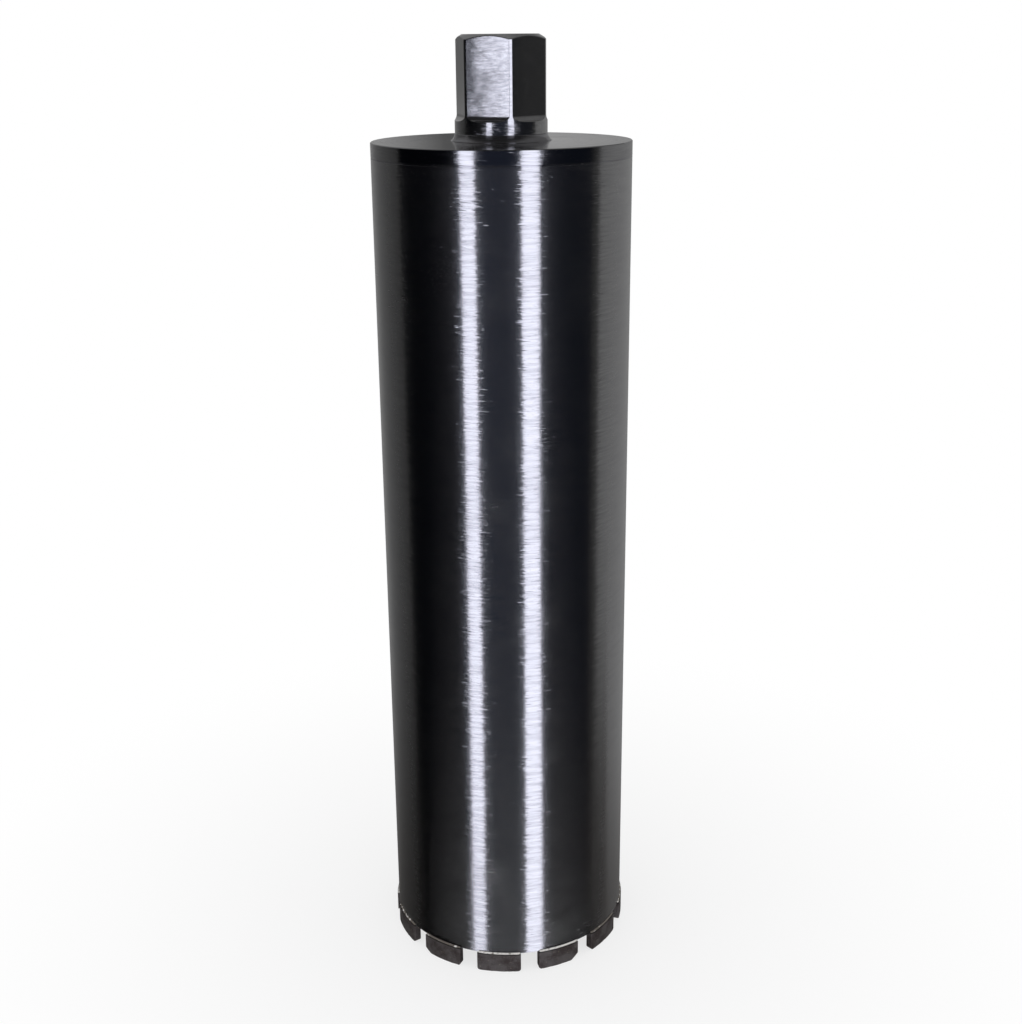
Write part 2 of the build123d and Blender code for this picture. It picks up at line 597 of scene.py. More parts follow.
GROUND_BARREL = CutSteel("ground_barrel", "ground_steel", roughness=0.18, scratch_roughness=0.03,
                         worn_below=0.25, fray=6.0, fray_length=0.006, oil=1.0)
TURNED_PLATE = CutSteel("turned_plate", "turned_steel", Grain.FACE, roughness=0.13, scratch_roughness=0.03,
                        anisotropy=0.3, mark_pitch=0.0008, waver=0.006, fray=5.0, fray_top=0.4394)
MILLED_HUB = CutSteel("milled_hub", "milled_steel", roughness=0.13, scratch_roughness=0.06,
                      mark_length=0.005, waver=0.008, sway=0.02, mottle=0.15, fray=30.0, fray_top=0.4496,
                      fray_pitch=0.15, oil=1.0)
TURNED_WELD = CutSteel("weld_turned_smooth", "turned_weld", colour=(0.56, 0.56, 0.59),
                       dark=(0.44, 0.43, 0.45), roughness=0.21, scratch_roughness=0.05)
SINTERED = SinteredMetal()
BRIGHT_SOLDER = SilverSolder()
# painted shade: a darker copy of the solder for the brazes round the bit's sides, away from its front
SHADED_SIDE_SOLDER = SilverSolder("shaded_side_silver_solder", side_shade=0.18)
WELD_BEAD = WeldMetal()


# ------------------------------------------------------------------------------------ mesh helpers


@dataclass(frozen=True)
class Corner:
    """A corner of a turned profile, with the radius that its edge is eased to."""

    radius: float
    height: float
    ease: float = 0.15


def eased_outline(corners: Sequence[Corner], steps: int = 5, hold: float = 0.3) -> np.ndarray:
    """Round a closed profile's corners and add points that keep its flats flat when shaded.

    Args:
        corners: The profile's corners in order.
        steps: Chords to each rounded corner.
        hold: Distance past each rounding of the point that holds the flat.

    Returns:
        Points of (radius, height).
    """
    points: list[np.ndarray] = []
    spots = [np.array([corner.radius, corner.height]) for corner in corners]
    for index, corner in enumerate(corners):
        here, before, after = spots[index], spots[index - 1], spots[(index + 1) % len(spots)]
        back = (before - here) / np.linalg.norm(before - here)
        on = (after - here) / np.linalg.norm(after - here)
        half = math.acos(float(np.clip(back @ on, -1.0, 1.0))) / 2
        reach = corner.ease / math.tan(half)
        centre = here + (back + on) / np.linalg.norm(back + on) * corner.ease / math.sin(half)
        first, last = here + back * reach, here + on * reach
        if np.linalg.norm(before - here) > 4 * (reach + hold):
            points.append(here + back * (reach + hold))
        start = math.atan2(*(first - centre)[::-1])
        turn = math.atan2(*(last - centre)[::-1]) - start
        turn = (turn + math.pi) % (2 * math.pi) - math.pi
        for step in range(steps + 1):
            angle = start + turn * step / steps
            points.append(centre + corner.ease * np.array([math.cos(angle), math.sin(angle)]))
        if np.linalg.norm(after - here) > 4 * (reach + hold):
            points.append(here + on * (reach + hold))
    return np.array(points)


def skin(rows: np.ndarray, close_rows: bool, close_columns: bool) -> tuple[np.ndarray, Faces]:
    """Join a grid of points with quads.

    Args:
        rows: Points, as rows by columns by three.
        close_rows: Join the last row to the first.
        close_columns: Join the last column to the first.

    Returns:
        The points as one list, and the faces.
    """
    count, width = rows.shape[:2]
    faces = []
    for row in range(count if close_rows else count - 1):
        here, next_row = row * width, (row + 1) % count * width
        for column in range(width if close_columns else width - 1):
            right = (column + 1) % width
            faces.append((here + column, here + right, next_row + right, next_row + column))
    return rows.reshape(-1, 3), faces


def placed(name: str, data: bpy.types.ID) -> bpy.types.Object:
    """Add an object to the scene.

    Args:
        name: The object's name.
        data: Its mesh, lamp or camera.

    Returns:
        The object.
    """
    thing = bpy.data.objects.new(name, data)
    bpy.context.scene.collection.objects.link(thing)
    return thing


def make_piece(name: str, points: np.ndarray, faces: Faces, finish: Finish, nodes: Sequence[str]) -> None:
    """Make a piece of the bit that stands for the given frame nodes.

    Args:
        name: The piece's name.
        points: Corners in millimetres.
        faces: Faces by corner number.
        finish: Its finish.
        nodes: Frame nodes that it replaces.
    """
    mesh = bpy.data.meshes.new(name)
    mesh.from_pydata((points * MM).tolist(), [], faces)
    shape = bmesh.new()
    shape.from_mesh(mesh)
    bmesh.ops.recalc_face_normals(shape, faces=shape.faces)
    shape.to_mesh(mesh)
    shape.free()
    mesh.shade_smooth()
    piece = placed(name, mesh)
    mesh.materials.append(dressed(finish))
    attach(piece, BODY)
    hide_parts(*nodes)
    log.info("%s: %d faces in %s", name, len(faces), finish.name)


@lru_cache(maxsize=None)
def dressed(finish: Finish) -> bpy.types.Material:
    """The finish's material, built once."""
    return finish.material()


def swung(section: np.ndarray, angle: float) -> np.ndarray:
    """A section of (radius, height) stood out at an angle round the axis, as points in space."""
    return np.column_stack([section[:, 0] * math.cos(angle), section[:, 0] * math.sin(angle), section[:, 1]])


def turned(outline: np.ndarray, steps: int, shaping: Shaping | None = None) -> tuple[np.ndarray, Faces]:
    """Sweep a closed profile once round the axis.

    Args:
        outline: Points of (radius, height).
        steps: Stations round the axis.
        shaping: Optional change of the profile at an angle.

    Returns:
        Points and faces.
    """
    rows = [swung(outline if shaping is None else shaping(angle, outline), angle)
            for angle in np.linspace(0.0, 2 * math.pi, steps, endpoint=False)]
    return skin(np.array(rows), True, True)


def wandering(angle: float, waves: float, level: float) -> float:
    """Noise that comes back to itself once round the axis.

    Args:
        angle: Angle round the axis.
        waves: How quickly it changes.
        level: Which of many such rounds is read.

    Returns:
        A value from about -1 to 1.
    """
    return noise.noise(Vector((math.cos(angle) * waves, math.sin(angle) * waves, level)))


def smooth_least(first: np.ndarray, second: np.ndarray, ease: float) -> np.ndarray:
    """The lesser of two surfaces with the edge between them eased.

    Args:
        first: One surface's distances.
        second: The other's.
        ease: Width over which they blend.

    Returns:
        The blended distances.
    """
    share = np.clip(0.5 + 0.5 * (second - first) / ease, 0.0, 1.0)
    return second * (1 - share) + first * share - ease * share * (1 - share)


# ------------------------------------------------------------------------------------ the bit


@dataclass
class Barrel:
    """The thin tube, and the ring of weld that joins it to the end plate."""

    sizes: BitSizes
    edge: float = 0.12
    seam_edge: float = 0.02
    seam_depth: float = 0.02
    seam_hold: float = 0.08
    seam_wander: float = 0.015  # how far the weld line strays in and out
    seam_waves: float = 9.0
    hidden_edge: float = 0.05
    stations: int = 256

    def build(self) -> None:
        """Shape and dress the tube and its weld line."""
        self.build_tube()
        self.build_rim_weld()

    def build_tube(self) -> None:
        """Turn the tube, its ends lightly broken."""
        size = self.sizes
        outline = eased_outline([
            Corner(size.barrel_radius, size.barrel_bottom, self.edge),
            Corner(size.barrel_radius, size.barrel_top, self.seam_edge),
            Corner(size.bore_radius, size.barrel_top, self.seam_edge),
            Corner(size.bore_radius, size.barrel_bottom, self.edge),
        ])
        make_piece("barrel_tube", *turned(outline, self.stations), GROUND_BARREL, ["barrel"])

    def build_rim_weld(self) -> None:
        """Turn the weld line: sunk a little under the ground surface and slightly uneven."""
        size = self.sizes
        outline = eased_outline([
            Corner(size.barrel_radius - self.seam_depth, size.barrel_top, self.seam_edge),
            Corner(size.barrel_radius - self.seam_depth, size.rim_bottom, self.seam_edge),
            Corner(size.step_radius, size.rim_bottom, self.hidden_edge),
            Corner(size.step_radius, size.barrel_top, self.hidden_edge),
        ], hold=self.seam_hold)
        face = (size.barrel_radius + size.step_radius) / 2

        def uneven(angle: float, section: np.ndarray) -> np.ndarray:
            """The weld's section with its face wandering in and out.

            Args:
                angle: Angle round the axis.
                section: The even section.

            Returns:
                The section at that angle.
            """
            moved = section.copy()
            moved[section[:, 0] > face, 0] += self.seam_wander * wandering(angle, self.seam_waves, 3.0)
            return moved

        make_piece("rim_weld_ring", *turned(outline, self.stations, uneven), TURNED_WELD, ["rim_weld"])


@dataclass
class EndPlate:
    """The plate that closes the barrel, with a step that locates inside it."""

    sizes: BitSizes
    edge: float = 0.1
    rim_edge: float = 0.12
    seam_edge: float = 0.02
    root_edge: float = 0.05
    stations: int = 256

    def build(self) -> None:
        """Turn and dress the plate."""
        size = self.sizes
        outline = eased_outline([
            Corner(size.plate_bore_radius, size.step_bottom, self.edge),
            Corner(size.step_radius - size.step_lead, size.step_bottom, self.edge),
            Corner(size.step_radius, size.step_bottom + size.step_lead, self.edge),
            Corner(size.step_radius, size.rim_bottom, self.root_edge),
            Corner(size.barrel_radius, size.rim_bottom, self.seam_edge),
            Corner(size.barrel_radius, size.plate_top - size.rim_chamfer, self.rim_edge),
            Corner(size.barrel_radius - size.rim_chamfer, size.plate_top, self.rim_edge),
            Corner(size.plate_bore_radius, size.plate_top, self.edge),
        ])
        make_piece("end_plate_turned", *turned(outline, self.stations), TURNED_PLATE, ["end_plate"])


# Shares of each stretch of the hub's outside at which a ring stands, from the neck to the nose's face.
NECK_SHARES = (0.0, 0.3, 0.7, 0.92, 0.975)
FLAT_SHARES = (0.15, 0.4, 0.7, 0.9, 0.97, 0.992, 1.0)
NOSE_SHARES = (0.12, 0.35, 0.65, 0.9, 1.0)
FACE_SHARES = (0.04, 0.12, 0.5, 0.88, 0.96)

# Degrees from a flat's end to the hub's columns, in over the flat and out over the turned corner.
FLAT_COLUMNS = (0.07, 0.16, 0.3, 0.7, 1.4, 2.6, 4.6, 7.4, 10.6, 14.2, 18.0, 22.0, 25.8)
CORNER_COLUMNS = (0.0, 0.07, 0.16, 0.3, 0.6, 0.9)


@dataclass
class Hub:
    """The hexagonal hub with its thread, and the two welds that hold it in the plate."""

    sizes: BitSizes
    edge: float = 0.05
    runout_rings: int = 14
    runout_lift: float = 1.0  # how far the runout's rings spread up the flat
    thread_step: float = 0.36
    thread_crest: float = 0.25  # flat crest, as a share of the pitch
    thread_root: float = 0.125
    thread_edge: float = 0.12
    spigot_edge: float = 0.2
    spigot_hold: float = 0.3
    weld_overlap: float = 0.02
    weld_chords: int = 14
    weld_stations: int = 192
    bead_points: int = 12
    bead_reach: float = 0.98  # share of its leg that the bead fills
    bead_power: float = 0.9
    bead_wander: float = 0.06
    bead_waves: float = 7.0
    ripple_count: int = 84
    ripple_stations: int = 8
    ripple: float = 0.12

    def build(self) -> None:
        """Shape and dress the hub and its welds."""
        self.build_hub()
        self.build_outer_weld()
        self.build_inner_weld()

    @property
    def land_angle(self) -> float:
        """Angle from a flat's middle to where the turned corner starts."""
        return math.acos(self.sizes.flat_distance / self.sizes.hub_radius)

    @property
    def half_pitch(self) -> float:
        """Half the angle from one flat to the next."""
        return math.pi / self.sizes.flat_count

    def columns(self) -> np.ndarray:
        """Space the columns round the hub, close together at the corners and wide on the flats.

        Returns:
            Their angles in order.
        """
        half = [self.land_angle - math.radians(step) for step in FLAT_COLUMNS]
        half += [self.land_angle + math.radians(step) for step in CORNER_COLUMNS]
        flat = {-angle for angle in half} | {0.0} | set(half)
        middles = [(2 * number + 1) * self.half_pitch for number in range(self.sizes.flat_count)]
        return np.array(sorted(middle + angle for middle in middles for angle in flat))

    def wall(self, off: np.ndarray, height: np.ndarray) -> np.ndarray:
        """Radius of the hub's outside.

        Args:
            off: Angle from the nearest flat's middle, for each column.
            height: Height of each point.

        Returns:
            Each point's distance from the axis.
        """
        size = self.sizes
        foot = size.plate_top + size.ledge_height
        rise = np.clip(foot + size.runout_radius - height, 0.0, size.runout_radius)
        cut = size.flat_distance + size.runout_radius - np.sqrt(size.runout_radius**2 - rise**2)
        cut = np.where(height < foot, size.hub_radius * 2, cut / np.cos(off))
        over = np.clip(height - (size.hub_top - size.nose_chamfer), 0.0, None)
        bar = size.hub_radius - over / math.tan(size.nose_angle)
        return smooth_least(bar, cut, self.edge)

    def bore(self, angle: np.ndarray, height: float) -> np.ndarray:
        """Radius of the threaded bore at a height.

        Args:
            angle: Angle of each column.
            height: The ring's height.

        Returns:
            Each column's distance from the axis.
        """
        size = self.sizes
        turn = np.mod(height / size.thread_pitch - angle / (2 * math.pi), 1.0)
        flank = 1.0 - self.thread_crest
        depth = np.clip((flank - np.abs(turn - 0.5) * 2) / (flank - self.thread_root), 0.0, 1.0)
        thread = size.thread_core_radius + (size.thread_root_radius - size.thread_core_radius) * depth
        mouth = size.thread_mouth_radius - (size.hub_top - height)
        leave = size.thread_core_radius + size.thread_exit_chamfer - (height - size.spigot_bottom)
        return -smooth_least(-thread, -np.full_like(thread, max(mouth, leave)), self.thread_edge)

    def build_hub(self) -> None:
        """Shape the hub as rings up the outside, over the nose, down the thread and up the spigot."""
        angle = self.columns()
        rings = self.outside(angle)
        rings += self.inside(angle, rings[-1][0])
        rings += [(np.full_like(angle, radius), np.full_like(angle, height))
                  for radius, height in self.spigot_outline()]
        rows = np.array([np.column_stack([radius * np.cos(angle), radius * np.sin(angle), height])
                         for radius, height in rings])
        make_piece("hub_milled", *skin(rows, True, True), MILLED_HUB, ["hub"])

    def outside(self, angle: np.ndarray) -> Rings:
        """Rings up the neck, round the cutter's runouts, up the flats and over the nose chamfer.

        Args:
            angle: Angle of each column.

        Returns:
            Each ring's radii and heights.
        """
        size = self.sizes
        off = np.mod(angle, 2 * self.half_pitch) - self.half_pitch
        on_flat = np.abs(off) < self.land_angle
        foot = size.plate_top + size.ledge_height
        reach = (size.flat_distance + size.runout_radius - size.hub_radius * np.cos(off)) / size.runout_radius
        arc_start = np.where(on_flat, np.arcsin(np.clip(reach, 0.0, 1.0)), math.pi / 2)
        run_start = foot + size.runout_radius * (1 - np.cos(arc_start))
        flat_start = foot + size.runout_radius + self.runout_lift
        over = (size.hub_radius - size.flat_distance / np.cos(off)) * math.tan(size.nose_angle)
        nose_start = size.hub_top - size.nose_chamfer + np.where(on_flat, np.clip(over, 0.0, None), 0.0)

        heights = [size.plate_top + share * (run_start - size.plate_top) for share in NECK_SHARES]
        heights.append(run_start - self.edge)
        for share in np.linspace(0.0, 1.0, self.runout_rings + 1):
            arc = arc_start + (math.pi / 2 - arc_start) * share
            heights.append(foot + size.runout_radius * (1 - np.cos(arc)) + self.runout_lift * share**2)
        heights += [flat_start + share * (nose_start - flat_start) for share in FLAT_SHARES]
        heights += [nose_start + share * (size.hub_top - nose_start) for share in NOSE_SHARES]
        return [(self.wall(off, height), height) for height in heights]

    def inside(self, angle: np.ndarray, rim: np.ndarray) -> Rings:
        """Rings in over the nose's face and down the threaded bore.

        Args:
            angle: Angle of each column.
            rim: Outer radius of the nose's face at each column.

        Returns:
            Each ring's radii and heights.
        """
        size = self.sizes
        top = np.full_like(angle, size.hub_top)
        rings = [(rim + (size.thread_mouth_radius - rim) * share, top) for share in FACE_SHARES]
        depth = size.hub_top - size.spigot_bottom
        levels = np.linspace(size.hub_top, size.spigot_bottom, int(depth / self.thread_step))
        return rings + [(self.bore(angle, level), np.full_like(angle, level)) for level in levels]

    def spigot_outline(self) -> list[tuple[float, float]]:
        """Draw from the bore's lower edge out and up the spigot to the plate's top face.

        Returns:
            Points of (radius, height).
        """
        size, edge, hold = self.sizes, self.spigot_edge, self.spigot_hold
        low, radius, eased = size.spigot_bottom, size.spigot_radius, 0.3 * self.spigot_edge
        return [
            (size.thread_core_radius + size.thread_exit_chamfer + hold, low),
            (radius - edge - hold, low),
            (radius - edge, low),
            (radius - eased, low + eased),
            (radius, low + edge),
            (radius, low + edge + hold),
            (radius, size.plate_top - hold),
            (radius + edge / 2, size.plate_top),
            (size.hub_radius - hold, size.plate_top),
        ]

    def build_outer_weld(self) -> None:
        """Turn the weld between neck and plate to its hollow radius."""
        size = self.sizes
        toe = np.array([size.weld_toe_radius, size.plate_top])
        head = np.array([size.hub_radius, size.weld_top])
        middle = (toe + head) / 2
        slope = (head - toe) / np.linalg.norm(head - toe)
        gap = math.sqrt(size.outer_weld_radius**2 - (np.linalg.norm(head - toe) / 2) ** 2)
        centre = middle + np.array([slope[1], -slope[0]]) * gap
        start, end = (math.atan2(*(point - centre)[::-1]) % (2 * math.pi) for point in (head, toe))
        hollow = [centre + size.outer_weld_radius * np.array([math.cos(angle), math.sin(angle)])
                  for angle in np.linspace(start, end, self.weld_chords)]
        outline = np.array([[size.hub_radius - self.weld_overlap, size.plate_top], *hollow])
        make_piece("hub_weld_fillet", *turned(outline, self.weld_stations), TURNED_WELD, ["hub_weld_outer"])

    def build_inner_weld(self) -> None:
        """Lay the rippled bead round the spigot under the plate."""
        size = self.sizes
        reach = size.inner_weld_leg * self.bead_reach
        angles = np.linspace(math.pi, 1.5 * math.pi, self.bead_points)
        root = np.array([size.spigot_radius, size.step_bottom])
        bead = np.column_stack([
            size.spigot_radius + reach * np.abs(np.sin(angles)) ** self.bead_power,
            size.step_bottom - reach * np.abs(np.cos(angles)) ** self.bead_power,
        ])

        def rippled(angle: float, section: np.ndarray) -> np.ndarray:
            """The bead's section drawn in and out as each ripple set.

            Args:
                angle: Angle round the axis.
                section: The even section.

            Returns:
                The section at that angle.
            """
            phase = angle * self.ripple_count / (2 * math.pi) % 1.0
            wander = self.bead_wander * wandering(angle, self.bead_waves, 1.0)
            return root + (section - root) * (1 - self.ripple * phase**2 - abs(wander))

        bead_mesh = turned(np.vstack([root, bead]), self.ripple_count * self.ripple_stations, rippled)
        make_piece("spigot_weld_bead", *bead_mesh, WELD_BEAD, ["hub_weld_inner"])


@dataclass(frozen=True)
class CornerWear:
    """A lower corner of a segment that work has worn away."""

    side: float  # 1 or -1: the end that it is at
    length: float
    height: float
    power: float = 1.3

    def at(self, along: float, from_end: float) -> float:
        """How much of the segment's height is gone at a place.

        Args:
            along: Distance from the segment's middle.
            from_end: Distance from the segment's nearer end.

        Returns:
            The height worn away.
        """
        if along * self.side < 0:
            return 0.0
        return self.height * max(0.0, 1.0 - from_end / self.length) ** self.power


# Segments with a lower corner worn away, and those whose solder is darkened as painted shade because they sit
# round the bit's sides, away from its front, by their numbers.
WORN_CORNERS = {9: CornerWear(-1.0, 4.4, 2.7), 11: CornerWear(1.0, 5.0, 3.4)}
SHADED_SIDE_BRAZES = (1, 8, 9, 12)


@dataclass
class Segment:
    """One diamond segment with the solder that holds it."""

    sizes: BitSizes
    number: int
    edge: float = 0.35
    top_edge_share: float = 0.7
    corner_steps: int = 3
    corner_hold: float = 0.25
    pitch: float = 0.55
    parts_across: int = 5
    parts_up: int = 12
    wear: float = 0.08
    wear_scale: float = 0.16
    ripple: float = 0.28
    ripple_scale: float = 0.35
    lumps: float = 0.06
    lump_scale: float = 0.9
    pits: float = 0.6  # share of the lumps' depth
    pit_scale: float = 2.6
    noise_step: float = 17.3
    noise_start: tuple[float, float] = (4.1, 9.7)
    arc_points: int = 9
    solder_pitch: float = 0.5
    solder_fade: float = 0.9  # length over which a run dies out at each end
    solder_slump: float = 0.85  # power that fills the fillet's hollow a little
    solder_overlap: float = 0.02
    solder_bite: float = 0.1  # how far its crest reaches into the wall
    solder_rise: tuple[float, float, float] = (0.90, 0.08, 0.02)  # even, by slow noise, by fine
    solder_spread: tuple[float, float, float] = (0.86, 0.12, 0.05)
    end_spread: float = 0.35
    slow_scale: float = 0.45
    fine_scale: float = 1.5

    def build(self) -> None:
        """Shape and dress the block and its solder."""
        self.build_block()
        self.build_braze()

    def roughened(self, where: Vector, scale: float) -> float:
        """Noise of this segment's own.

        Args:
            where: Place in millimetres, or a distance along with two numbers that pick its own noise.
            scale: Features to a millimetre.

        Returns:
            A value from about -1 to 1.
        """
        return noise.noise(where * scale + Vector((self.number * self.noise_step, *self.noise_start)))

    def stations(self, length: float, corner: float, pitch: float) -> np.ndarray:
        """Places along a piece, close together where its ends are rounded.

        Args:
            length: The piece's length.
            corner: Radius of its end corners.
            pitch: Distance between stations away from the ends.

        Returns:
            Distances from the piece's middle.
        """
        turn = np.linspace(0.0, math.pi / 2, self.arc_points)
        near = corner * (1 - np.cos(turn))
        inner = length / 2 - corner
        middle = np.linspace(-inner, inner, max(2, int(2 * inner / pitch)))[1:-1]
        return np.concatenate([near - length / 2, middle, (length / 2 - near)[::-1]])

    def block_section(self, along: float) -> np.ndarray:
        """The block's cross-section at a place along it.

        Args:
            along: Distance from the block's middle.

        Returns:
            Points of (radius, height).
        """
        size = self.sizes
        from_end = size.segment_length / 2 - abs(along)
        low_in = max(size.end_corner_radius - from_end, 0.0)
        low = size.end_corner_radius - math.sqrt(max(size.end_corner_radius**2 - low_in**2, 0.0))
        side_in = max(self.edge - from_end, 0.0)
        inset = self.edge - math.sqrt(max(self.edge**2 - side_in**2, 0.0))
        if self.number in WORN_CORNERS:
            low = max(low, WORN_CORNERS[self.number].at(along, from_end))
        low += self.wear * (0.5 + 0.5 * self.roughened(Vector((along, 0.0, 0.0)), self.wear_scale))
        low += self.ripple * abs(self.roughened(Vector((along, 5.0, 0.0)), self.ripple_scale))
        top, top_edge = size.segment_height - inset, self.edge * self.top_edge_share
        inner, outer = size.segment_inner_radius + inset, size.segment_outer_radius - inset
        return eased_outline([
            Corner(inner, low, self.edge),
            Corner(outer, low, self.edge),
            Corner(outer, top, top_edge),
            Corner(inner, top, top_edge),
        ], steps=self.corner_steps, hold=self.corner_hold)

    def build_block(self) -> None:
        """Shape the pressed block, its cutting edge slightly worn and its faces lumpy."""
        size = self.sizes
        middle = size.segment_angle(self.number)
        mid_radius = (size.segment_inner_radius + size.segment_outer_radius) / 2
        rows = [swung(divided(self.block_section(along), self.parts_across, self.parts_up),
                      middle + along / size.segment_outer_radius)
                for along in self.stations(size.segment_length, size.end_corner_radius, self.pitch)]
        points, faces = capped(np.array(rows))
        for point in points:
            where = Vector(point)
            dent = abs(self.roughened(where, self.lump_scale))
            dent += self.pits * abs(self.roughened(where, self.pit_scale))
            radius = math.hypot(point[0], point[1])
            inward = self.lumps * dent * (1.0 if radius < mid_radius else -1.0)
            point[:2] *= 1 + inward / radius
        make_piece(f"segment_block_{self.number:02d}", points, faces, SINTERED,
                   [f"segment_{self.number:02d}"])

    def braze_section(self, along: float, half: float) -> np.ndarray:
        """The solder's cross-section at a place along the segment.

        Args:
            along: Distance from the segment's middle.
            half: Half the solder's length.

        Returns:
            Points of (radius, height).
        """
        size = self.sizes
        fade = min(1.0, max(0.0, (half - abs(along)) / self.solder_fade)) ** 0.5
        slow = self.roughened(Vector((along, 0.0, 3.0)), self.slow_scale)
        fine = self.roughened(Vector((along, 2.0, 3.0)), self.fine_scale)
        height, width = (even + by_slow * slow + by_fine * fine
                         for even, by_slow, by_fine in (self.solder_rise, self.solder_spread))
        seat = size.segment_height - self.solder_overlap
        rise = (size.barrel_bottom - seat) + size.braze_rise * height * fade
        spread = width * (self.end_spread + (1 - self.end_spread) * fade)
        turn = np.linspace(0.0, math.pi / 2, self.arc_points)
        out = spread * (1 - np.sin(turn)) ** self.solder_slump
        up = seat + rise * (1 - np.cos(turn)) ** self.solder_slump
        outer = np.column_stack([size.barrel_radius + out, up])
        inner = np.column_stack([size.bore_radius - out, up])
        crest = seat + rise
        return np.vstack([
            outer,
            (size.barrel_radius - self.solder_bite, crest),
            (size.bore_radius + self.solder_bite, crest),
            inner[::-1],
        ])

    def build_braze(self) -> None:
        """Lay the solder between the block and the barrel, run out into a fillet on each side."""
        size = self.sizes
        length = size.segment_length - 2 * size.braze_end_margin
        middle = size.segment_angle(self.number)
        rows = [swung(self.braze_section(along, length / 2), middle + along / size.segment_outer_radius)
                for along in self.stations(length, self.solder_fade, self.solder_pitch)]
        # brazes round the sides get the darker copy of the solder, as painted shade
        solder = SHADED_SIDE_SOLDER if self.number in SHADED_SIDE_BRAZES else BRIGHT_SOLDER
        make_piece(f"braze_fillet_{self.number:02d}", *capped(np.array(rows)), solder,
                   [f"braze_{self.number:02d}"])


def divided(outline: np.ndarray, across: int, up: int) -> np.ndarray:
    """Divide the sides between the corners of a four-cornered outline.

    Args:
        outline: Points of (radius, height), as many at each corner.
        across: Parts that the level sides are divided into.
        up: Parts that the upright sides are divided into.

    Returns:
        The outline with more points.
    """
    corner_points = len(outline) // 4
    points: list[np.ndarray] = []
    for index, here in enumerate(outline):
        corner, place = divmod(index, corner_points)
        side_parts = up if corner % 2 else across
        parts = side_parts if place == corner_points - 1 else 1
        after = outline[(index + 1) % len(outline)]
        points += [here + (after - here) * step / parts for step in range(parts)]
    return np.array(points)


def capped(rows: np.ndarray, cap_share: float = 0.8) -> tuple[np.ndarray, Faces]:
    """Join sections into a closed bar, with a flat face at each end.

    Args:
        rows: Sections, each a closed loop of points.
        cap_share: Size of the end faces' inner loops, which keep the ends flat when shaded.

    Returns:
        Points and faces.
    """
    first, last = (section.mean(axis=0) + (section - section.mean(axis=0)) * cap_share
                   for section in (rows[0], rows[-1]))
    points, faces = skin(np.concatenate([first[None], rows, last[None]]), False, True)
    width = rows.shape[1]
    faces.append(tuple(range(width)))
    faces.append(tuple(range(len(points) - width, len(points))))
    return points, faces


@dataclass
class Crown:
    """The ring of diamond segments."""

    sizes: BitSizes

    def build(self) -> None:
        """Build every segment with its solder."""
        for number in range(1, self.sizes.segment_count + 1):
            Segment(self.sizes, number).build()


# ------------------------------------------------------------------------------------ the studio


@dataclass
class Camera:
    """The viewpoint: in front of the bit, a little over its hub, looking down at its middle."""

    distance: float = 0.7224
    height: float = 0.4875
    azimuth: float = -72.1
    heading: float = 107.657
    pitch: float = -18.536
    roll: float = -0.536
    focal_length: float = 49.58
    sensor: float = 36.0

    def build(self) -> None:
        """Add the camera and make it the scene's own."""
        data = bpy.data.cameras.new("camera")
        data.lens = self.focal_length
        data.sensor_width = self.sensor
        data.clip_start = 0.01
        data.clip_end = 50.0
        camera = placed("camera", data)
        camera.matrix_world = self.placing()
        bpy.context.scene.camera = camera

    def placing(self) -> Matrix:
        """Work out where the camera stands and looks.

        Returns:
            The camera's place and attitude.
        """
        heading, pitch, roll = (math.radians(angle) for angle in (self.heading, self.pitch, self.roll))
        ahead = Vector((math.cos(heading) * math.cos(pitch), math.sin(heading) * math.cos(pitch),
                        math.sin(pitch)))
        right = Vector((math.sin(heading), -math.cos(heading), 0.0))
        up = right.cross(ahead)
        tilted_right = right * math.cos(roll) + up * math.sin(roll)
        tilted_up = up * math.cos(roll) - right * math.sin(roll)
        turn = Matrix((tilted_right, tilted_up, -ahead)).transposed().to_4x4()
        around = math.radians(self.azimuth)
        spot = Vector((math.cos(around) * self.distance, math.sin(around) * self.distance, self.height))
        return Matrix.Translation(spot) @ turn


@dataclass(frozen=True)
class Softbox:
    """A tall strip of soft light that stands round the bit and faces it."""

    name: str
    bearing: float  # degrees from the bit's front
    width: float  # degrees that it spans
    radiance: float
    distance: float = 2.3
    low: float = -2.6
    high: float = 1.0
    colour: Colour = (0.91, 0.92, 1.05)

    def build(self, front: float) -> None:
        """Stand the light up.

        Args:
            front: Azimuth of the bit's front, in degrees.
        """
        data = bpy.data.lights.new(self.name, "AREA")
        data.shape = "RECTANGLE"
        data.size = 2 * self.distance * math.tan(math.radians(self.width / 2))
        data.size_y = self.high - self.low
        data.energy = self.radiance * math.pi * data.size * data.size_y
        data.color = self.colour
        light = placed(self.name, data)
        around = math.radians(front + self.bearing)
        out = Vector((math.cos(around), math.sin(around), 0.0))
        side = Vector((-out.y, out.x, 0.0))
        turn = Matrix((side, Vector((0.0, 0.0, 1.0)), out)).transposed().to_4x4()
        spot = out * self.distance + Vector((0.0, 0.0, (self.low + self.high) / 2))
        light.matrix_world = Matrix.Translation(spot) @ turn
        light.visible_camera = False


